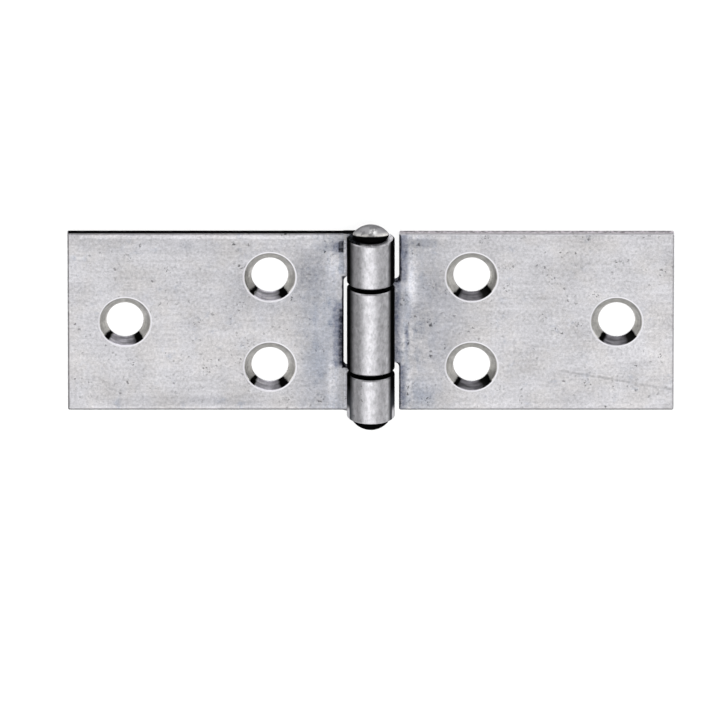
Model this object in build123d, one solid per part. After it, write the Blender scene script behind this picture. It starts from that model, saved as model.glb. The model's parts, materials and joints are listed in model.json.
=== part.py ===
from build123d import *
import math
import os

# Rolled steel furniture hinge: two countersunk leaves on a riveted pin, lying open on its back.
# X runs across the open leaves, Y along the pin and Z up from the back face, which lies on z = 0.
# The origin is on that face, under the middle of the pin. All sizes are in millimetres.

# Sheet and leaves
OPEN_WIDTH = 100.0  # end to end across both open leaves
LEAF_HEIGHT = 31.2  # along the pin
SHEET = 1.5  # thickness of the strip that both leaves are made of
LEAF_CORNER_R = 0.3  # outer corners of a leaf, seen from the front
FRONT_BEVEL = 0.25  # worn edge round the front face

# Pin
PIN_D = 4.8
PIN_CLEARANCE = 0.05  # radial, between the pin and the rolled bores
HEAD_SEAT = 0.25  # ring of a riveted head that bears on the end of the barrel
HEAD_LIP = 0.65  # how far a head stands out past the pin at its widest, all round
HEAD_FLARE = 0.6  # height over which a head widens, mushroomed by riveting
HEAD_DOME = 1.6  # height of the crown above that
HEAD_EDGE_R = 0.3  # where the flare turns over into the crown

# Knuckles
MIDDLE_KNUCKLE = 14.4  # length of the middle knuckle along the pin
KNUCKLE_GAP = 0.8  # free space between neighbouring knuckles
KNUCKLE_SPREAD = 0.1  # how far rolling widens the outer knuckles past the leaf's edges
KNUCKLE_BEVEL = 0.2  # broken edge at each end of a knuckle
ROLL_SEAM = 0.2  # gap between the free end of a roll and its own leaf

# Cut-outs at the inner edges of the leaves
NOTCH_CLEARANCE = 0.52  # from the middle knuckle to the bottom of the notch beside it
SHOULDER_CLEARANCE = 0.72  # from the outer knuckles to the shoulders beside them
CUT_CORNER_R = 0.8  # inside corners of the cut-outs in the flat strip

# Countersunk screw holes
SCREW_HOLE_D = 6.1
SCREW_LAND = 0.35  # straight wall left under a countersink
SINK_ANGLE = 90.0
SINK_LIP_WIDTH = 0.3  # burnished lip round a countersink
SINK_LIP_DEPTH = 0.08
INNER_PAIR_X = 16.65  # from the pin's axis to the pair of inner holes
INNER_PAIR_SPACING = 15.8
OUTER_HOLE_INSET = 9.45  # from the free end of a leaf to its outer hole

# Worked out from the sizes above
LEAF_REACH = OPEN_WIDTH / 2
BORE_R = PIN_D / 2 + PIN_CLEARANCE
KNUCKLE_R = BORE_R + SHEET
BARREL_HALF = LEAF_HEIGHT / 2 + KNUCKLE_SPREAD
NOTCH_HALF = MIDDLE_KNUCKLE / 2 + KNUCKLE_GAP
ROLL_SWEEP = 270.0 + math.degrees(math.asin((BORE_R - ROLL_SEAM) / KNUCKLE_R))
PAST = 2 * KNUCKLE_R  # how far a cutting tool runs past what it cuts


def rolled_strip(half_height):
    """Flat leaf along +X whose inner end curls up over the pin and back down, extruded along the pin."""
    axis_point = (0, KNUCKLE_R)
    with BuildSketch(Plane.XZ) as section:
        with BuildLine():
            back = Line((LEAF_REACH, 0), (0, 0))
            outside = CenterArc(axis_point, KNUCKLE_R, -90, -ROLL_SWEEP)
            inside = CenterArc(axis_point, BORE_R, -90, -ROLL_SWEEP)
            front = Line((0, SHEET), (LEAF_REACH, SHEET))
            Line(outside @ 1, inside @ 1)
            Line(front @ 1, back @ 0)
        make_face()
    return extrude(section.sketch, half_height, both=True)


def cutter(x_low, x_high, y_low, y_high):
    """Upright tool: its corners are rounded through the flat strip and square through the rolls above."""
    middle = Pos((x_low + x_high) / 2, (y_low + y_high) / 2, SHEET)
    width = x_high - x_low
    height = y_high - y_low
    through_strip = extrude(middle * RectangleRounded(width, height, CUT_CORNER_R), PAST, dir=(0, 0, -1))
    through_rolls = extrude(middle * Rectangle(width, height), PAST, dir=(0, 0, 1))
    return through_strip + through_rolls


def soften(leaf, corners):
    """Round a leaf's corners, then break the rims of its knuckles and the outline of its front face."""
    leaf = fillet(corners, LEAF_CORNER_R)
    rims = leaf.edges().filter_by(GeomType.CIRCLE).group_by(SortBy.RADIUS)[-1]
    leaf = chamfer(rims, KNUCKLE_BEVEL)
    front = leaf.faces().filter_by(Plane.XY).sort_by(Axis.Z)[-1]
    outline = front.edges().filter_by_position(Axis.X, KNUCKLE_R, LEAF_REACH)
    return chamfer(outline, FRONT_BEVEL)


def with_screw_holes(leaf):
    """Cut the pair of inner holes and the outer hole, countersunk from the front face."""
    slope = math.tan(math.radians(SINK_ANGLE / 2))
    sink_depth = SHEET - SCREW_LAND
    sink_r = SCREW_HOLE_D / 2 + sink_depth * slope
    lip_base_r = sink_r - SINK_LIP_DEPTH * slope
    drill = Cylinder(SCREW_HOLE_D / 2, 2 * PAST)
    sink = Pos(0, 0, -sink_depth / 2) * Cone(SCREW_HOLE_D / 2, sink_r, sink_depth)
    lip = Pos(0, 0, -SINK_LIP_DEPTH / 2) * Cone(lip_base_r, sink_r + SINK_LIP_WIDTH, SINK_LIP_DEPTH)
    places = [
        (INNER_PAIR_X, -INNER_PAIR_SPACING / 2, SHEET),
        (INNER_PAIR_X, INNER_PAIR_SPACING / 2, SHEET),
        (LEAF_REACH - OUTER_HOLE_INSET, 0, SHEET),
    ]
    for place in places:
        leaf -= Pos(*place) * (drill + sink + lip)
    return leaf


def two_knuckle_leaf():
    """Leaf on the -X side: a notch between its two knuckles leaves room for the middle one."""
    leaf = rolled_strip(BARREL_HALF)
    leaf -= cutter(-PAST, KNUCKLE_R + NOTCH_CLEARANCE, -NOTCH_HALF, NOTCH_HALF)
    for side in (-1, 1):
        low, high = sorted((side * LEAF_HEIGHT / 2, side * (BARREL_HALF + PAST)))
        leaf -= cutter(KNUCKLE_R, LEAF_REACH + PAST, low, high)
    free_corners = leaf.edges().filter_by(Axis.Z).group_by(Axis.X)[-1]
    leaf = with_screw_holes(soften(leaf, free_corners))
    return mirror(leaf, Plane.YZ)


def one_knuckle_leaf():
    """Leaf on the +X side: its shoulders are cut back beside the outer knuckles."""
    leaf = rolled_strip(LEAF_HEIGHT / 2)
    for side in (-1, 1):
        low, high = sorted((side * MIDDLE_KNUCKLE / 2, side * (LEAF_HEIGHT / 2 + PAST)))
        leaf -= cutter(-PAST, KNUCKLE_R + SHOULDER_CLEARANCE, low, high)
    upright_by_height = leaf.edges().filter_by(Axis.Z).group_by(Axis.Y)
    return with_screw_holes(soften(leaf, upright_by_height[0] + upright_by_height[-1]))


def hinge_pin():
    """Pin through all three knuckles, with a domed head riveted against each end of the barrel."""
    shank_r = PIN_D / 2
    head_r = shank_r + HEAD_LIP
    seat_r = shank_r + HEAD_SEAT
    crown_base = BARREL_HALF + HEAD_FLARE
    dome_r = (head_r**2 + HEAD_DOME**2) / (2 * HEAD_DOME)
    dome_angle = math.degrees(math.asin(head_r / dome_r))
    with BuildSketch() as half:
        with BuildLine():
            crown = CenterArc((0, crown_base + HEAD_DOME - dome_r), dome_r, 90, -dome_angle)
            underside = Polyline(crown @ 1, (seat_r, BARREL_HALF), (shank_r, BARREL_HALF), (shank_r, 0))
            Polyline(underside @ 1, (0, 0), crown @ 0)
        make_face()
        fillet(half.vertices().sort_by(Axis.X)[-1], HEAD_EDGE_R)
    upper = revolve(half.sketch, Axis.Y)
    return Pos(0, 0, KNUCKLE_R) * (upper + mirror(upper, Plane.XZ))


os.makedirs("parts", exist_ok=True)
for make_piece in (two_knuckle_leaf, one_knuckle_leaf, hinge_pin):
    export_step(make_piece(), f"parts/{make_piece.__name__}.step")
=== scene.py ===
# %% [markdown]
# A rolled steel furniture hinge, lying open on a light table and seen from above. The three pieces
# (two leaves and a riveted pin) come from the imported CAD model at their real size. This script
# leaves their shapes alone and gives them what a drawing lacks: raw steel with its mill marks, a
# floor, a light tent and a camera.

# %% Load the hinge
import json
import math
from typing import NamedTuple

import bpy
import numpy as np
from mathutils import Matrix, Vector

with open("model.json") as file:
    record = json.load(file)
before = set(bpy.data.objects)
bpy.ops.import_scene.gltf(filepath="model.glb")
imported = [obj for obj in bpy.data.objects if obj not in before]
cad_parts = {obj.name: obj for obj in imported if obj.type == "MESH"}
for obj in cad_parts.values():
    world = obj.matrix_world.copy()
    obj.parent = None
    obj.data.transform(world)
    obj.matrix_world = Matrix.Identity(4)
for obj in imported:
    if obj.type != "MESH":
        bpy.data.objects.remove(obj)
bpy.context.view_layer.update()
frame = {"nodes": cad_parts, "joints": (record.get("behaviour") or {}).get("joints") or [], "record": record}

MM = 1000.0


print("pieces:", sorted(frame["nodes"]))

# %% [markdown]
# The finishes follow the hinge's own geometry: a bright lip round every screw hole, dark scale on
# the flanks of the rolls, bruised steel beside the notch. So the sizes that they need are taken
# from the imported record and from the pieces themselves, once, here. All of them are in millimetres.
# X runs across the leaves, Y along the pin and Z up, and the pin's axis is at x = 0.


# %% Sizes that the finishes follow
def points_of(node_name):
    """The vertices of a piece in millimetres, one row each."""
    mesh = frame["nodes"][node_name].data
    flat = np.empty(3 * len(mesh.vertices), dtype=np.float32)
    mesh.vertices.foreach_get("co", flat)
    return flat.reshape(-1, 3) * MM


mounts = {mount["name"]: mount for mount in frame["record"]["mounts"]}
inner_pair = mounts["one_knuckle_leaf_inner_screws"]
outer_hole = mounts["one_knuckle_leaf_outer_screw"]
inner_hole_at = (inner_pair["pos_m"][0] * MM, inner_pair["dims"]["spacing_y_mm"] / 2)
outer_hole_at = (outer_hole["pos_m"][0] * MM, 0.0)
hole_r = outer_hole["dims"]["r_mm"]
axis_z = frame["joints"][0]["pos_m"][2] * MM

right_leaf = points_of("one_knuckle_leaf")
left_leaf = points_of("two_knuckle_leaf")
leaf_reach, leaf_half, _ = (float(c) for c in right_leaf.max(axis=0))
knuckle_r, barrel_half, _ = (float(c) for c in left_leaf.max(axis=0))
head_r = float(points_of("hinge_pin")[:, 0].max())
sheet = float(right_leaf[right_leaf[:, 0] > 2 * knuckle_r, 2].max())
sink_r = hole_r + sheet - outer_hole["dims"]["length_mm"]
print(f"holes at {inner_hole_at} and {outer_hole_at}, countersinks {2 * sink_r:.2f} across")
print(f"sheet {sheet:.2f}, knuckle radius {knuckle_r:.2f}, pin axis {axis_z:.2f} above the floor")

# %% [markdown]
# A material in Blender is a small graph of nodes. Written out in full, that is three lines for
# every sum and product, so this helper keeps one graph and offers the few operations used here.
# Each call adds one node or a few, and most return an output, so a finish reads like a formula. A
# plain number or colour is set on the socket itself, and only a changing value is linked.


# %% A helper that turns formulas into nodes
class Graph:
    """The node tree of one material or world, written as formulas over the outputs of its nodes."""

    def __init__(self, owner):
        owner.use_nodes = True
        self.tree = owner.node_tree
        self.tree.nodes.clear()

    def node(self, kind, inputs=None, **settings):
        """Add a node, set its options, and feed its inputs by name or place."""
        made = self.tree.nodes.new(kind)
        for name, value in settings.items():
            setattr(made, name, value)
        for key, value in (inputs or {}).items():
            if isinstance(value, bpy.types.NodeSocket):
                self.tree.links.new(value, made.inputs[key])
            else:
                made.inputs[key].default_value = value
        return made

    def locate(self):
        """Keep the object coordinates in millimetres, and their distances from the two middle lines."""
        here = self.node("ShaderNodeTexCoord").outputs["Object"]
        self.place = self.node("ShaderNodeVectorMath", {0: here, "Scale": MM}, operation="SCALE").outputs[0]
        self.x, self.y, self.z = self.parts(self.place)
        self.off_x = self.calc("ABSOLUTE", self.x)
        self.off_y = self.calc("ABSOLUTE", self.y)

    def parts(self, vector):
        """The x, y and z of a vector."""
        return self.node("ShaderNodeSeparateXYZ", {0: vector}).outputs

    def calc(self, operation, *values):
        """One sum: ADD, MULTIPLY, ABSOLUTE and so on."""
        return self.node("ShaderNodeMath", dict(enumerate(values)), operation=operation).outputs[0]

    def product(self, *values):
        """All the values multiplied together."""
        result = values[0]
        for value in values[1:]:
            result = self.calc("MULTIPLY", result, value)
        return result

    def total(self, *values):
        """All the values added together."""
        result = values[0]
        for value in values[1:]:
            result = self.calc("ADD", result, value)
        return result

    def inverse(self, share):
        """One minus the share."""
        return self.calc("SUBTRACT", 1.0, share)

    def length(self, across, along):
        """Distance in a plane: the square root of the sum of the squares."""
        return self.calc("SQRT", self.total(self.product(across, across), self.product(along, along)))

    def distance(self, x, y, place):
        """Distance from a point at place."""
        return self.length(self.calc("SUBTRACT", x, place[0]), self.calc("SUBTRACT", y, place[1]))

    def rise(self, value, start, end):
        """A smooth step: 0 at start, 1 at end, and the other way round if end is below start."""
        low, high, at_low, at_high = (start, end, 0.0, 1.0) if start < end else (end, start, 1.0, 0.0)
        places = {"Value": value, "From Min": low, "From Max": high, "To Min": at_low, "To Max": at_high}
        return self.node("ShaderNodeMapRange", places, interpolation_type="SMOOTHSTEP").outputs["Result"]

    def remap(self, value, start, end, to_start, to_end):
        """A straight line from one range to another, held at its ends."""
        places = {"Value": value, "From Min": start, "From Max": end, "To Min": to_start, "To Max": to_end}
        return self.node("ShaderNodeMapRange", places).outputs["Result"]

    def ramp(self, value, stops):
        """A number that passes through the (place, height) stops in straight lines."""
        made = self.node("ShaderNodeValToRGB", {"Fac": value})
        elements = made.color_ramp.elements
        while len(elements) < len(stops):
            elements.new(1.0)
        for element, (place, height) in zip(elements, stops):
            element.position = place
            element.color = (height, height, height, 1.0)
        return made.outputs["Color"]

    def band(self, value, start, end, soft):
        """1 from start to end, fading to 0 over the width soft on both sides."""
        return self.product(self.rise(value, start - soft, start), self.rise(value, end + soft, end))

    def noise(self, vector, scale, detail=4.0, roughness=0.5):
        """Cloudy noise from 0 to 1 whose patches are about 1 / scale across."""
        places = {"Vector": vector, "Scale": scale, "Detail": detail, "Roughness": roughness}
        return self.node("ShaderNodeTexNoise", places).outputs["Fac"]

    def cells(self, vector, scale):
        """A Voronoi pattern: distance from a cell's middle, and two random numbers for each cell."""
        places = {"Vector": vector, "Scale": scale}
        made = self.node("ShaderNodeTexVoronoi", places, voronoi_dimensions="2D")
        pick, depth, _ = self.node("ShaderNodeSeparateColor", {0: made.outputs["Color"]}).outputs
        return made.outputs["Distance"], pick, depth

    def stretched(self, vector, x, y, z):
        """The same coordinates, drawn out so that noise becomes streaks."""
        return self.node("ShaderNodeMapping", {"Vector": vector, "Scale": (x, y, z)}).outputs["Vector"]

    def warped(self, vector, scale, amount):
        """Coordinates pushed about by noise, so that painted shapes lose their straight borders."""
        push = self.node("ShaderNodeTexNoise", {"Vector": vector, "Scale": scale}).outputs["Color"]
        middle = {0: push, 1: (0.5, 0.5, 0.5)}
        centred = self.node("ShaderNodeVectorMath", middle, operation="SUBTRACT").outputs[0]
        moved = {0: centred, 1: (amount, amount, amount), 2: vector}
        return self.node("ShaderNodeVectorMath", moved, operation="MULTIPLY_ADD").outputs[0]

    def blend(self, share, low, high, kind="MIX"):
        """A colour between two colours, or with MULTIPLY the first one tinted by the second."""
        places = {0: share, 6: low, 7: high}  # the sockets that a Mix node uses for colours
        made = self.node("ShaderNodeMix", places, data_type="RGBA", clamp_factor=True, blend_type=kind)
        return made.outputs[2]

    def mix(self, share, low, high):
        """A number between two numbers."""
        return self.total(self.product(self.inverse(share), low), self.product(share, high))

    def finish(self, shader, output="ShaderNodeOutputMaterial"):
        """Send the shader to the surface output."""
        self.node(output, {"Surface": shader.outputs[0]})


def grey(value, tint=(1.0, 1.0, 1.0)):
    """A grey of that linear brightness, turned slightly towards a tint."""
    return (*(value * part for part in tint), 1.0)


BLACK = grey(0.0)
WHITE = grey(1.0)

# Tints, as shares of red, green and blue
COOL = (1.0, 0.99, 1.03)
BLUE = (0.9, 0.98, 1.11)
SLATE = (0.86, 0.95, 1.24)
NAVY = (0.8, 0.9, 1.8)
MAUVE = (1.04, 0.97, 1.03)
WARM = (1.02, 1.0, 0.96)
LILAC = (1.0, 0.97, 1.06)
ASH = (0.97, 0.99, 1.04)
PEWTER = (0.93, 0.98, 1.08)
print("finishes are written as formulas over object coordinates in millimetres")

# %% [markdown]
# Raw cold-rolled strip is not one grey. Its face is mottled at the size of a grain of sand, with
# wider clouds and faint streaks from the rolling mill, and it is sprinkled with dark pits. Noise at
# three scales gives the mottling, and two more the smudges and the slight change from cool to warm.
# The pits are the middles of a few cells of a Voronoi pattern, warped so that they are ragged. One
# more noise says where they gather, and the finest ones also lie in clusters.

# %% The flat strip
STRIP_DARK = grey(0.36, COOL)
STRIP_PALE = grey(0.92, COOL)
BLUISH = grey(0.72, BLUE)
PIT_COLOUR = grey(0.06, COOL)

# Each row of pits: cells per mm, size in mm, share of the cells that have one, strength
PIT_SIZES = ((0.5, 0.32, 0.12, 1.0), (0.8, 0.23, 0.13, 0.9), (1.3, 0.16, 0.12, 0.7))
FINE_PITS = {"scale": 2.0, "size": 0.16, "share": 0.6}

# Clusters: cells per mm, where they fade out from the middle, and which cells have one
CLUSTER_CELLS = 0.16
CLUSTER_FADE = (0.22, 0.08)
CLUSTER_PICK = (0.4, 0.42)


def specks(g, scale, size, share):
    """Ragged dots of that size in mm, in a share of the cells of a Voronoi pattern, some only faint."""
    distance, pick, depth = g.cells(g.warped(g.place, scale=2.6, amount=0.9), scale)
    spot = g.rise(distance, size * scale, 0.4 * size * scale)
    return g.product(spot, g.rise(pick, 1.0 - share, 1.01 - share), g.remap(depth, 0.0, 1.0, 0.25, 1.0))


def clusters(g):
    """Groups of tiny pits: fine specks that are kept only near the middles of some wide cells."""
    distance, pick, _ = g.cells(g.place, CLUSTER_CELLS)
    near = g.rise(distance, *CLUSTER_FADE)
    return g.product(near, g.rise(pick, *CLUSTER_PICK), specks(g, **FINE_PITS))


def strip(g):
    """Colour and tone of the bare strip: the tone is the sum of grain, clouds and streaks."""
    grain = g.noise(g.place, scale=2.0, detail=6.0, roughness=0.85)
    cloud = g.noise(g.place, scale=0.14, detail=4.0, roughness=0.6)
    along_mill = g.stretched(g.place, x=0.15, y=1.6, z=1.0)
    streak = g.noise(along_mill, scale=1.0, detail=4.0, roughness=0.6)
    tone = g.total(
        g.remap(grain, 0.2, 0.8, -1.3, 1.3),
        g.remap(cloud, 0.3, 0.7, -0.3, 0.3),
        g.remap(streak, 0.3, 0.7, -0.18, 0.18),
    )
    face = g.blend(g.remap(tone, -1.2, 1.2, 0.0, 1.0), STRIP_DARK, STRIP_PALE)
    warmth = g.rise(g.noise(g.place, scale=0.18, detail=4.0, roughness=0.6), 0.4, 0.65)
    face = g.blend(g.product(warmth, 0.7), face, grey(1.0, WARM), "MULTIPLY")
    smudges = g.rise(g.noise(g.place, scale=0.4, detail=5.0, roughness=0.65), 0.58, 0.75)
    face = g.blend(g.product(smudges, 0.6), face, BLUISH, "MULTIPLY")
    gathered = g.remap(g.noise(g.place, scale=0.2, detail=2.0), 0.4, 0.62, 0.15, 1.0)
    for scale, size, share, strength in PIT_SIZES:
        pits = g.product(specks(g, scale, size, share), gathered, strength)
        face = g.blend(pits, face, PIT_COLOUR)
    return g.blend(clusters(g), face, PIT_COLOUR), tone


print("strip: five noises for its mottling and", len(PIT_SIZES), "sizes of pits")

# %% [markdown]
# Beside the roll the strip carries the marks of the tools that gripped and bent it. Smudges, bluish
# or rubbed pale, are soft ovals. The dark, rolled-over rims of the cut-outs are soft lines along an
# edge. Each one multiplies the colour under it, so the grain goes on through it. Noise pushes their
# borders about, and a second noise eats into them.

# %% Two kinds of marks
PALE = grey(1.36)
DULLED = grey(0.64, ASH)
GREYED = grey(0.5, PEWTER)
BRUISED = grey(0.36, SLATE)
NAVY_BLACK = grey(0.025, NAVY)
BRUISE_REACH = 15.0


class Smudge(NamedTuple):
    """A soft oval: its middle and half widths in mm, how strong it is, its tint, how broken it is."""

    middle: tuple
    half: tuple
    strength: float
    tint: tuple
    broken: float

    def mask(self, g, x, y):
        """1 in the middle, falling to 0 on the oval ((x - mx) / hx)^2 + ((y - my) / hy)^2 = 1."""
        across = g.calc("DIVIDE", g.calc("SUBTRACT", x, self.middle[0]), self.half[0])
        along = g.calc("DIVIDE", g.calc("SUBTRACT", y, self.middle[1]), self.half[1])
        return g.rise(g.length(across, along), 1.0, 0.1)


class Rim(NamedTuple):
    """A line along an edge: its extent in mm, its soft border, how strong, its tint, how broken."""

    across: tuple
    along: tuple
    soft: float
    strength: float
    tint: tuple
    broken: float

    def mask(self, g, x, y):
        """1 inside the extent, fading to 0 over the soft border."""
        return g.product(g.band(x, *self.across, self.soft), g.band(y, *self.along, self.soft))


def bruised(g, face):
    """Bluish streaks along the roll and a fine dark mottling, here and there, stronger towards the roll."""
    clouds = g.remap(g.noise(g.place, scale=0.2, detail=3.0), 0.4, 0.6, 0.35, 1.0)
    near_roll = g.product(g.rise(g.off_x, BRUISE_REACH, knuckle_r), clouds)
    along_roll = g.stretched(g.place, x=0.8, y=0.2, z=1.0)
    streaks = g.rise(g.noise(along_roll, scale=1.0, detail=5.0, roughness=0.7), 0.38, 0.64)
    face = g.blend(g.product(near_roll, streaks, 0.8), face, BLUISH, "MULTIPLY")
    mottling = g.rise(g.noise(g.place, scale=1.6, detail=6.0, roughness=0.85), 0.48, 0.68)
    return g.blend(g.product(near_roll, mottling), face, GREYED, "MULTIPLY")


def marked(g, face, marks):
    """Lay the marks over the face, one after the other."""
    x, y, _ = g.parts(g.warped(g.place, scale=0.8, amount=0.5))
    breaks = g.rise(g.noise(g.place, scale=1.5, detail=6.0, roughness=0.85), 0.3, 0.66)
    for mark in marks:
        kept = g.remap(breaks, 0.0, 1.0, 1.0 - mark.broken, 1.0)
        share = g.product(mark.mask(g, x, y), kept, mark.strength)
        face = g.blend(share, face, mark.tint, "MULTIPLY")
    return face


print("marks: ovals and lines that multiply the colour under them")

# %% [markdown]
# Now the places. They follow no rule, because every hinge is bruised differently, so they were
# judged from the photograph, and each leaf has its own list. Most lie beside the roll: dulled
# and bluish fields, pale rubs along the bend, and the black rims of the notch and of the shoulders.
# All of them multiply, so their order doesn't matter. The right leaf also has one long scratch.

# %% Where the marks are
LEFT_MARKS = [
    # A painted highlight along the upper edge
    Rim((-48.0, -8.0), (14.75, 15.2), 0.15, 0.6, PALE, 0.5),
    Smudge((-27.0, -13.9), (17.0, 1.5), 0.45, DULLED, 0.4),
    # A painted highlight along the lower edge
    Rim((-46.0, -6.0), (-15.15, -14.9), 0.12, 0.5, PALE, 0.5),
    Smudge((-16.0, 6.5), (14.0, 11.0), 0.75, DULLED, 0.8),
    Smudge((-10.5, 8.5), (4.5, 7.0), 0.8, DULLED, 0.8),
    Rim((-48.0, -14.0), (12.6, 14.4), 0.8, 0.25, DULLED, 0.9),
    Smudge((-8.0, 0.0), (6.0, 14.0), 0.5, BLUISH, 0.6),
    Smudge((-8.8, -7.6), (3.4, 6.0), 0.6, BLUISH, 0.5),
    Smudge((-9.0, -12.0), (5.0, 4.5), 0.6, DULLED, 0.8),
    Smudge((-7.2, 13.2), (2.8, 1.5), 0.6, GREYED, 0.7),
    Smudge((-30.6, 13.4), (2.2, 1.3), 0.5, GREYED, 0.8),
    Smudge((-6.2, 10.0), (2.2, 4.0), 1.0, PALE, 0.3),
    Smudge((-6.4, -11.0), (1.3, 7.0), 1.0, PALE, 0.4),
    Smudge((-5.5, 13.3), (1.4, 2.3), 0.95, BRUISED, 0.4),
    Rim((-5.1, -4.55), (8.6, 12.4), 0.25, 0.7, BLUISH, 0.4),
    Rim((-5.25, -5.0), (12.7, 14.2), 0.2, 0.92, NAVY_BLACK, 0.4),
    Rim((-4.8, -4.5), (12.5, 14.2), 0.2, 0.95, NAVY_BLACK, 0.3),
    Rim((-5.2, -4.6), (12.4, 12.9), 0.25, 0.9, NAVY_BLACK, 0.4),
    Rim((-4.35, -4.05), (8.9, 14.3), 0.12, 0.9, PALE, 0.0),
    Rim((-4.35, -4.05), (-15.0, -8.6), 0.12, 0.8, PALE, 0.2),
    Rim((-5.6, -4.4), (-7.2, 3.0), 1.1, 0.95, BRUISED, 0.6),
    Rim((-5.0, -4.4), (-7.4, 2.0), 0.6, 0.97, NAVY_BLACK, 0.5),
    Rim((-4.65, -4.3), (-8.0, 8.0), 0.25, 0.98, NAVY_BLACK, 0.1),
    Rim((-4.6, -4.0), (-8.05, -7.7), 0.15, 0.9, NAVY_BLACK, 0.2),
]
RIGHT_MARKS = [
    # A painted highlight along the upper edge
    Rim((6.0, 13.0), (14.7, 15.0), 0.2, 0.6, PALE, 0.5),
    # A painted highlight along the lower edge
    Rim((14.0, 48.0), (-15.1, -14.5), 0.3, 0.35, PALE, 0.7),
    Smudge((43.0, -2.0), (14.0, 18.0), 0.4, PALE, 0.5),
    Smudge((10.5, 0.5), (8.0, 20.0), 1.0, DULLED, 0.75),
    Smudge((8.2, -13.4), (4.5, 3.2), 0.6, BLUISH, 0.6),
    Smudge((8.2, 13.9), (4.0, 1.3), 0.7, GREYED, 0.5),
    Smudge((6.7, 6.6), (1.5, 7.5), 1.0, PALE, 0.2),
    Smudge((6.6, 6.8), (0.9, 4.5), 0.7, PALE, 0.4),
    Smudge((5.4, -2.0), (2.4, 7.0), 0.7, PALE, 0.6),
    Smudge((6.3, -10.0), (0.8, 4.5), 0.7, PALE, 0.5),
    Rim((3.8, 4.5), (-7.0, 7.0), 0.8, 0.9, BRUISED, 1.0),
    Smudge((6.0, -2.4), (0.5, 3.2), 0.9, BRUISED, 0.7),
    Rim((4.6, 5.6), (7.6, 15.3), 0.9, 0.9, BRUISED, 0.6),
    Rim((4.6, 4.95), (7.4, 15.4), 0.2, 0.95, NAVY_BLACK, 0.5),
    Rim((4.6, 5.4), (-15.4, -7.9), 0.7, 0.95, BRUISED, 0.7),
    Rim((4.6, 4.85), (-15.4, -7.6), 0.12, 0.8, NAVY_BLACK, 0.4),
    Rim((3.9, 4.8), (-7.9, -7.3), 0.2, 0.9, NAVY_BLACK, 0.2),
    Rim((3.9, 4.8), (7.1, 7.6), 0.2, 0.8, NAVY_BLACK, 0.2),
]
SCRATCH_FROM = (33.0, -8.9)
SCRATCH_TO = (49.0, -11.8)
SCRATCH_FADE = 3.0
SCRATCH_STRENGTH = 0.45


def scratched(g, face):
    """One shallow scratch: points near the line y = y0 + slope (x - x0), between its two ends."""
    x, y, _ = g.parts(g.warped(g.place, scale=0.5, amount=0.35))
    slope = (SCRATCH_TO[1] - SCRATCH_FROM[1]) / (SCRATCH_TO[0] - SCRATCH_FROM[0])
    on_line = g.total(g.product(x, slope), SCRATCH_FROM[1] - slope * SCRATCH_FROM[0])
    off_line = g.calc("ABSOLUTE", g.calc("SUBTRACT", y, on_line))
    between_ends = g.band(x, SCRATCH_FROM[0], SCRATCH_TO[0], SCRATCH_FADE)
    worn = g.remap(g.noise(g.place, scale=0.9, detail=4.0, roughness=0.7), 0.35, 0.6, 0.15, 1.0)
    share = g.product(g.rise(off_line, 0.35, 0.05), between_ends, worn, SCRATCH_STRENGTH)
    return g.blend(share, face, grey(0.25, COOL))


print(len(LEFT_MARKS), "marks on the left leaf,", len(RIGHT_MARKS), "and a scratch on the right one")

# %% [markdown]
# The blanks were sheared from the strip, and the two leaves were sheared differently. The upper wall
# of the left one is near black. On the right one the wall is bare and only its foot is darker, with a
# ragged border, and its bevel carries a painted highlight. Along the other edges a darker line is
# painted, the shade of their rounded edges.

# %% Sheared edges
# Linear greys: the upper wall and its foot, the painted highlight of the bevel, and painted shade along the
# lower edge and the free ends
LEFT_EDGES = {"foot": 0.006, "wall": 0.006, "bevel_highlight": 0.0, "lower_edge_shade": 0.14, "free_end_shade": 0.2}
RIGHT_EDGES = {"foot": 0.3, "wall": 0.7, "bevel_highlight": 0.9, "lower_edge_shade": 0.14, "free_end_shade": 0.45}


def edged(g, face, foot, wall, bevel_highlight, lower_edge_shade, free_end_shade):
    """Colour the sheared edges, with a painted highlight on the upper bevel and painted shade along the
    lower edge and free ends. The tones are linear greys, varied by noise along the edge.
    """
    torn = g.noise(g.place, scale=1.6, detail=3.0, roughness=0.7)
    # Painted shade along the lower edge
    at_bottom = g.product(g.rise(g.y, 0.4 - leaf_half, 0.2 - leaf_half), g.remap(torn, 0.3, 0.7, 0.6, 1.0))
    face = g.blend(at_bottom, face, grey(lower_edge_shade, COOL))
    # Painted shade along the free ends
    near_end = g.rise(g.off_x, leaf_reach - 0.34, leaf_reach - 0.14)
    face = g.blend(g.product(near_end, g.rise(torn, 0.25, 0.6), 0.8), face, grey(free_end_shade, COOL))
    torn_z = g.total(g.z, g.remap(torn, 0.4, 0.6, -0.6, 0.6))
    ragged = g.blend(g.rise(torn_z, 0.9, 0.4), grey(wall, MAUVE), grey(foot, MAUVE))
    patches = g.rise(g.noise(g.place, scale=0.9, detail=4.0, roughness=0.7), 0.45, 0.6)
    ragged = g.blend(g.product(patches, 0.5), ragged, grey(0.4), "MULTIPLY")
    # A painted highlight on the upper bevel
    bevel_highlight_share = g.product(g.rise(g.y, leaf_half - 0.34, leaf_half - 0.24), g.rise(torn, 0.2, 0.5), bevel_highlight)
    face = g.blend(bevel_highlight_share, face, grey(0.95, COOL))
    at_top = g.product(g.rise(g.y, leaf_half - 0.1, leaf_half - 0.03), g.rise(g.z, sheet + 0.05, sheet))
    return g.blend(at_top, face, ragged)


print(f"sheared edges: at y = {leaf_half:.1f} and {-leaf_half:.1f}, free ends at {leaf_reach:.1f}")
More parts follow.
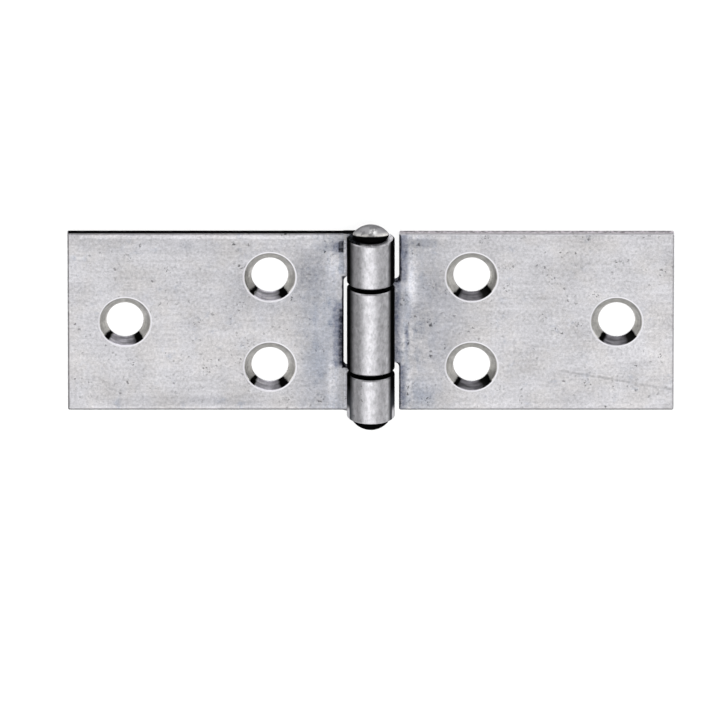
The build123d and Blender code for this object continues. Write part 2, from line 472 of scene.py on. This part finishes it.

# %% [markdown]
# A countersink is turned with a cutter, so its marks are rings about the hole. Its reflections are
# painted into its colour: the tone of a cone is given by the hour, as on a clock face, and each leaf
# has its own list. Low on each side that painted reflection is black, and between those two places
# the turning marks are stronger and the tint lilac. Painted shade darkens the outer edge of the cone,
# except low in it, and a thin near-white ring is painted on the lip.

# %% Countersinks
# Painted reflections: (hour, linear tone) of the cones of each leaf; the near-black ones are painted dark
# reflections
PAINTED_DARK_REFLECTION = 0.004
LEFT_SINK_REFLECTIONS = [
    (0.0, 0.46), (1.5, 0.42), (3.0, 0.8), (4.3, 0.72), (4.45, PAINTED_DARK_REFLECTION), (5.05, PAINTED_DARK_REFLECTION), (5.3, 0.4), (6.0, 0.78),
    (7.2, 0.7), (7.4, PAINTED_DARK_REFLECTION), (7.7, PAINTED_DARK_REFLECTION), (7.85, 0.78), (9.0, 0.84), (10.5, 0.46), (12.0, 0.46),
]
RIGHT_SINK_REFLECTIONS = [
    (0.0, 0.46), (1.5, 0.42), (3.0, 0.82), (4.1, 0.7), (4.25, PAINTED_DARK_REFLECTION), (5.0, 0.02), (5.4, 0.24), (6.0, 0.4),
    (6.9, 0.36), (7.15, PAINTED_DARK_REFLECTION), (7.45, PAINTED_DARK_REFLECTION), (7.6, 0.74), (9.0, 0.84), (10.5, 0.46), (12.0, 0.46),
]
HOURS = 12.0
HOURS_PER_RADIAN = HOURS / (2.0 * math.pi)


def countersunk(g, face, sink_reflections):
    """Colour the cones with painted reflections, and their lips. Also returns where the cones are and their
    turning marks.
    """
    inner = g.distance(g.off_x, g.off_y, inner_hole_at)
    outer = g.distance(g.off_x, g.off_y, outer_hole_at)
    hole = g.calc("MINIMUM", inner, outer)
    is_inner = g.calc("LESS_THAN", inner, outer)
    middle_x = g.product(g.calc("SIGN", g.x), g.mix(is_inner, outer_hole_at[0], inner_hole_at[0]))
    middle_y = g.product(g.calc("SIGN", g.y), is_inner, inner_hole_at[1])
    from_six = g.calc("ARCTAN2", g.calc("SUBTRACT", g.x, middle_x), g.calc("SUBTRACT", middle_y, g.y))
    ragged = g.remap(g.noise(g.place, scale=1.0, detail=2.0), 0.3, 0.7, -0.1, 0.1)
    hour = g.total(HOURS / 2.0, g.product(from_six, -HOURS_PER_RADIAN), ragged)

    # A thin near-white ring painted on the lip
    near_face = g.rise(g.z, sheet - 0.3, sheet - 0.15)
    lip = g.product(g.rise(hole, sink_r - 0.02, sink_r + 0.04), g.rise(hole, sink_r + 0.34, sink_r + 0.2))
    face = g.blend(g.product(lip, near_face), face, grey(0.93, COOL))
    rings = g.node("ShaderNodeCombineXYZ", {0: hole, 1: g.product(g.x, 0.1), 2: g.product(g.y, 0.1)})
    turned = g.noise(rings.outputs[0], scale=3.0)
    low = g.band(hour, 5.2, 7.2, 0.2)
    chatter = g.remap(turned, 0.3, 0.7, g.mix(low, 0.85, 0.45), g.mix(low, 1.15, 1.45))
    blotches = g.remap(g.noise(g.place, scale=0.9, detail=4.0, roughness=0.7), 0.35, 0.65, 0.8, 1.15)
    # Painted shade along the outer edge of the cone, except low in it
    rim_shade = g.product(g.rise(hole, sink_r - 0.2, sink_r - 0.05), g.inverse(g.band(hour, 4.0, 8.0, 0.5)), 0.4)
    # The painted reflections, by the hour
    reflection_by_hour = g.ramp(g.product(hour, 1.0 / HOURS), [(at / HOURS, tone) for at, tone in sink_reflections])
    tone = g.product(reflection_by_hour, chatter, blotches, g.inverse(rim_shade))
    tint = g.blend(low, grey(1.0, WARM), grey(1.0, LILAC))
    cone = g.product(g.rise(hole, sink_r + 0.05, sink_r - 0.01), g.rise(g.z, 0.05, 0.3))
    return g.blend(cone, face, g.blend(tone, BLACK, tint)), cone, turned


print("countersinks: tones by the hour,", len(LEFT_SINK_REFLECTIONS), "and", len(RIGHT_SINK_REFLECTIONS), "of them")

# %% [markdown]
# The knuckles were rolled round the pin in a die that polished their crowns. Their flanks carry a
# painted reflection, black, which turns blue-grey towards the lower end and stops short of the outline
# there. The ends of the barrel are sheared edges again, with painted shade on their left side and a
# painted shadow under the pin's head, and the faces in the gaps are painted black as shade.

# %% Rolled knuckles
# Black for painted shade and reflections, also used on the pin; then where the painted reflection on the
# flanks begins on each side, and where it is left off near the lower end
PAINTED_SHADE_BLACK = grey(0.004)
LEFT_FLANK_SHADE = (-2.15, -3.55)
RIGHT_FLANK_SHADE = (2.6, 3.4)
FLANK_SHADE_ENDS = (-13.0, -14.2)


def rolled(g, face):
    """Colour the rolls by their distance from the pin's axis, with painted reflections and shade. Also
    returns their skin and their painted black.
    """
    from_axis = g.length(g.x, g.calc("SUBTRACT", g.z, axis_z))
    roll = g.rise(from_axis, knuckle_r + 0.1, knuckle_r + 0.04)
    skin = g.product(roll, g.rise(from_axis, knuckle_r - 0.32, knuckle_r - 0.24))
    along_barrel = g.stretched(g.place, x=1.6, y=0.8, z=1.0)
    wear = g.noise(along_barrel, scale=1.0, detail=6.0, roughness=0.75)
    crown = g.blend(g.rise(wear, 0.28, 0.72), grey(0.5, COOL), grey(0.88, COOL))
    crown = g.blend(g.product(specks(g, scale=0.7, size=0.16, share=0.2), 0.7), crown, grey(0.1))
    face = g.blend(roll, face, grey(0.4, COOL))
    face = g.blend(skin, face, crown)

    at_end = g.product(roll, g.rise(g.off_y, barrel_half - 0.06, barrel_half - 0.02))
    sheared = g.blend(g.rise(wear, 0.4, 0.6), grey(0.6, COOL), grey(1.0, COOL))
    # Painted shade on the left side of the end face
    end_face_shade = g.blend(g.rise(wear, 0.4, 0.8), BLACK, grey(0.12, BLUE))
    sheared = g.blend(g.rise(g.x, -1.0, -2.0), sheared, end_face_shade)
    # A painted shadow under the pin's head, black on the end face
    sheared = g.blend(g.rise(from_axis, head_r - 0.1, head_r - 0.35), sheared, BLACK)
    face = g.blend(at_end, face, sheared)

    # Painted reflection on the flanks: black, blue-grey towards the lower end, left off near the outline
    # there
    sides = g.calc("MAXIMUM", g.rise(g.x, *LEFT_FLANK_SHADE), g.rise(g.x, *RIGHT_FLANK_SHADE))
    low_end = g.rise(g.y, *FLANK_SHADE_ENDS)
    no_flank_shade = g.product(low_end, g.rise(g.off_x, knuckle_r - 0.55, knuckle_r - 0.35))
    scale = g.product(skin, sides, g.inverse(no_flank_shade))
    face = g.blend(scale, face, g.blend(g.rise(g.y, -9.5, -12.5), PAINTED_SHADE_BLACK, grey(0.06, BLUE)))
    # Painted shade: the faces inside the gaps between the knuckles are black
    inside_barrel = g.rise(g.off_y, barrel_half - 0.1, barrel_half - 0.2)
    in_gap = g.product(g.rise(from_axis, knuckle_r - 0.2, knuckle_r - 0.3), inside_barrel)
    return g.blend(in_gap, face, PAINTED_SHADE_BLACK), skin, g.calc("MAXIMUM", scale, in_gap)


# Prints where the painted reflection on the flanks begins
print(f"rolls: radius {knuckle_r:.2f}, scale past x = {LEFT_FLANK_SHADE[0]} and {RIGHT_FLANK_SHADE[0]}")

# %% [markdown]
# Now the layers are put together, once for each leaf. All of it is metal, so the colour is the
# colour of the reflections. A lower edge tint takes away the white glare that a plain metal shows
# at a glancing angle, which greasy steel doesn't have. Roughness follows the layers too: dull strip,
# smoother crowns and countersinks, matt where shade and reflections are painted black.

# %% The steel of the leaves
EDGE_TINT = 0.4
MATT = 0.6
GRAIN_BUMP = {"Strength": 0.3, "Distance": 0.00004}


def bare_metal(g, colour, rough, height, bump):
    """Finish the graph as metal of that colour and roughness, with a bump from the height."""
    bumps = g.node("ShaderNodeBump", {**bump, "Height": height})
    g.finish(g.node("ShaderNodeBsdfPrincipled", {
        "Base Color": colour, "Metallic": 1.0, "Roughness": rough, "Normal": bumps.outputs[0],
        "Specular Tint": grey(EDGE_TINT),
    }))


def leaf_steel(name, marks, has_scratch, edges, sink_reflections):
    """Raw steel: strip, marks, edges, countersinks and rolls, laid over each other in that order."""
    material = bpy.data.materials.new(name)
    g = Graph(material)
    g.locate()
    face, tone = strip(g)
    face = marked(g, bruised(g, face), marks)
    if has_scratch:
        face = scratched(g, face)
    face = edged(g, face, **edges)
    face, cone, turned = countersunk(g, face, sink_reflections)
    face, skin, black = rolled(g, face)

    rough = g.remap(tone, -1.0, 1.0, 0.5, 0.4)
    rough = g.mix(skin, rough, 0.3)
    # Where shade and reflections are painted black, the steel is matt
    rough = g.mix(black, rough, MATT)
    rough = g.mix(cone, rough, g.remap(turned, 0.3, 0.7, 0.28, 0.38))
    bare_metal(g, face, rough, g.product(tone, g.inverse(cone)), GRAIN_BUMP)
    return material


leaf_finishes = {
    "two_knuckle_leaf": leaf_steel("dark_walled_strip_steel", LEFT_MARKS, False, LEFT_EDGES, LEFT_SINK_REFLECTIONS),
    "one_knuckle_leaf": leaf_steel("clean_strip_steel", RIGHT_MARKS, True, RIGHT_EDGES, RIGHT_SINK_REFLECTIONS),
}
print("leaf finishes:", [m.name for m in leaf_finishes.values()])

# %% [markdown]
# The pin is drawn wire. Only its two heads show, and those were hammered over on the bench. Light
# and shade are painted on the upper one: a painted highlight on its crown, painted shading that is
# lighter low and darker high and to the left, and painted shade, black, below a slanting border. The
# lower head and the shank inside the knuckles are painted black as shade.

# %% The steel of the pin
# The slant of the border of the painted shade below the cap, and the middle of the painted highlight
CAP_SLANT = 0.21
HIGHLIGHT_AT = (0.4, 1.2)
HAMMERED = 0.34
DENT_BUMP = {"Strength": 0.4, "Distance": 0.0002}


def pin_steel(name):
    """A dented crown on the upper head with a painted highlight and painted shading, and painted shade in
    black everywhere else.
    """
    material = bpy.data.materials.new(name)
    g = Graph(material)
    g.locate()
    above_axis = g.calc("SUBTRACT", g.z, axis_z)
    past_barrel = g.calc("SUBTRACT", g.calc("SUBTRACT", g.y, barrel_half), g.product(above_axis, CAP_SLANT))
    cap = g.rise(past_barrel, 0.58, 0.72)
    dents = g.noise(g.place, scale=1.1, detail=4.0, roughness=0.6)
    # Painted shading on the cap: lighter low, darker high
    bright = g.blend(g.rise(past_barrel, 0.75, 1.3), grey(0.85, WARM), grey(0.36, COOL))
    # A painted highlight
    painted_highlight = g.rise(g.distance(g.x, past_barrel, HIGHLIGHT_AT), 0.9, 0.2)
    bright = g.blend(painted_highlight, bright, WHITE)
    # Painted shade on the left side of the cap
    bright = g.blend(g.product(g.rise(g.x, 0.2, -2.6), 0.6), bright, grey(0.3, COOL))
    bright = g.blend(g.product(g.rise(dents, 0.5, 0.6), 0.75), bright, grey(0.18, COOL))
    # Painted shade, black, below the cap and on the lower head and shank
    colour = g.blend(cap, PAINTED_SHADE_BLACK, bright)
    bare_metal(g, colour, g.mix(cap, MATT, HAMMERED), dents, DENT_BUMP)
    return material


pin_finish = pin_steel("hammered_pin_painted_light")
for node_name, piece in frame["nodes"].items():
    finish = leaf_finishes.get(node_name, pin_finish)
    piece.data.materials.clear()
    piece.data.materials.append(finish)
    print(node_name, "wears", finish.name)

# %% [markdown]
# Under the hinge is a light table of milky glass, as for cut-out product pictures. The glass is pale
# and catches the shadow, and the camera and mirror-like rays also look through it, at the white
# below. So the floor photographs as white without more light on the steel, and a leaf that swings
# down past the table's surface can still be seen through it.

# %% The light table
FLOOR_HALF = 3.0
FLOOR_DROP = 0.00002
GLASS_CLEAR = 0.88
GLASS_GREY = 0.3


def seen_rays(g):
    """1 for the rays of the camera and for reflected and transmitted ones, 0 for all others."""
    rays = g.node("ShaderNodeLightPath").outputs
    mirrored = g.calc("MAXIMUM", rays["Is Glossy Ray"], rays["Is Transmission Ray"])
    return g.calc("MAXIMUM", rays["Is Camera Ray"], mirrored)


def table_top():
    """A square of glass: the grid of the two parameters from -1 to 1, times its half width."""
    side = np.linspace(-1.0, 1.0, 2) * FLOOR_HALF
    grid_x, grid_y = np.meshgrid(side, side)
    points = np.stack([grid_x, grid_y, np.full_like(grid_x, -FLOOR_DROP)], axis=-1).reshape(-1, 3)
    mesh = bpy.data.meshes.new("light_table")
    mesh.from_pydata(points.tolist(), [], [(0, 1, 3, 2)])
    floor = bpy.data.objects.new("light_table", mesh)
    bpy.context.scene.collection.objects.link(floor)
    return floor


def milky_glass(name):
    """A pale surface that the camera and reflections also look through."""
    material = bpy.data.materials.new(name)
    g = Graph(material)
    clear = g.blend(seen_rays(g), BLACK, grey(GLASS_CLEAR))
    through = g.node("ShaderNodeBsdfTransparent", {"Color": clear})
    milk = g.node("ShaderNodeBsdfDiffuse", {"Color": grey(GLASS_GREY)})
    g.finish(g.node("ShaderNodeAddShader", {0: milk.outputs[0], 1: through.outputs[0]}))
    return material


floor = table_top()
floor.data.materials.append(milky_glass("milky_glass"))
print("floor:", 2 * FLOOR_HALF, "m square")

# %% [markdown]
# Metal looks like whatever it reflects, so the light is a tent drawn in the world: brightness as a
# function of direction. Overhead is a soft box, reached by the reflections of the leaves and of the
# crowns of the knuckles. The walls of the tent are mid grey, the far one lighter on its right, which
# gives the rolls their grey sides. The near wall shows in the lower half of the countersinks. Low on
# the far side stands a pale screen, for the sides that the soft box doesn't reach, and under the
# table everything that the camera and mirror-like rays see is white.

# %% The light tent
# The edges of the soft box, as slopes x / z and y / z, each from its dark to its bright side
BOX_ACROSS = ((-0.9, -0.62), (0.6, 0.37))
BOX_ALONG = ((-1.6, -1.1), (0.5, 0.2))
BOX_RADIANCE = 1.25

# Where the two walls meet, and where the other parts begin: y or z of a direction of length 1
WALLS_MEET = 0.15
TABLE_HAZE = (0.02, 0.1)
CEILING_RISE = (0.5, 0.9)
SCREEN_RISE = (-0.55, -0.75)

# Brightness of the parts, and of the left and right side of the far wall as shares of its own
FAR_RADIANCE = 0.336
FAR_SIDES = (0.7, 1.55)
NEAR_RADIANCE = 0.4
SCREEN_RADIANCE = 0.8
CEILING_RADIANCE = 0.4
HORIZON_RADIANCE = 0.72


def light_tent():
    """Radiance by direction: soft box overhead, grey walls, pale at the horizon, white below."""
    world = bpy.data.worlds.new("light_tent")
    bpy.context.scene.world = world
    g = Graph(world)
    direction = g.node("ShaderNodeTexCoord").outputs["Generated"]
    x, y, z = g.parts(direction)
    up = g.calc("MAXIMUM", z, 0.001)
    across = g.calc("DIVIDE", x, up)
    along = g.calc("DIVIDE", y, up)
    box = g.product(
        *(g.rise(across, *edge) for edge in BOX_ACROSS),
        *(g.rise(along, *edge) for edge in BOX_ALONG),
        g.rise(z, 0.0, 0.1),
    )
    above_table = g.rise(z, *TABLE_HAZE)
    on_far_side = g.rise(y, WALLS_MEET, -WALLS_MEET)
    far = g.product(on_far_side, g.remap(x, -0.9, 0.9, *FAR_SIDES), FAR_RADIANCE)
    near = g.product(g.rise(y, -WALLS_MEET, WALLS_MEET), NEAR_RADIANCE)
    tent = g.product(g.total(far, near), above_table)
    ceiling = g.product(g.rise(z, *CEILING_RISE), CEILING_RADIANCE)
    horizon = g.product(g.band(z, 0.0, 0.03, 0.02), HORIZON_RADIANCE)
    screen = g.product(g.rise(y, *SCREEN_RISE), above_table, SCREEN_RADIANCE)
    below = g.product(g.rise(z, 0.0, -0.01), seen_rays(g))
    for part in (ceiling, horizon, screen, below, g.product(box, BOX_RADIANCE)):
        tent = g.calc("MAXIMUM", tent, part)
    light = g.node("ShaderNodeBackground", {"Color": WHITE, "Strength": tent})
    g.finish(light, "ShaderNodeOutputWorld")
    return world


light_tent()
print("light tent: soft box", BOX_RADIANCE, "far wall", FAR_RADIANCE, "near wall", NEAR_RADIANCE)

# %% [markdown]
# The picture was taken from almost straight above, 21 degrees off the vertical towards the end of
# the pin that shows its head, with a very long lens: parallel edges stay parallel. The camera looks
# at the point, 3 mm above the table, that lies in the middle of the picture.

# %% Camera
TILT = math.radians(21.0)
FRAME_WIDTH = 0.1188
CAMERA_DISTANCE = 4.5
AIM = Vector((-0.001782, -0.00614, 0.003))
SENSOR = 36.0
CLIP_END = 10.0


def add_camera():
    """A long lens at the photograph's angle: backwards is (0, sin t, cos t), up is (0, cos t, -sin t)."""
    backward = Vector((0.0, math.sin(TILT), math.cos(TILT)))
    upward = Vector((0.0, math.cos(TILT), -math.sin(TILT)))
    turn = Matrix((upward.cross(backward), upward, backward)).transposed()
    data = bpy.data.cameras.new("camera")
    data.sensor_width = SENSOR
    data.lens = SENSOR * CAMERA_DISTANCE / FRAME_WIDTH
    data.clip_end = CLIP_END
    camera = bpy.data.objects.new("camera", data)
    camera.matrix_world = Matrix.Translation(AIM + backward * CAMERA_DISTANCE) @ turn.to_4x4()
    bpy.context.scene.collection.objects.link(camera)
    bpy.context.scene.camera = camera
    return camera


camera = add_camera()
bpy.context.scene.view_settings.view_transform = "Standard"
print("lens", round(camera.data.lens), "mm at", CAMERA_DISTANCE, "m")
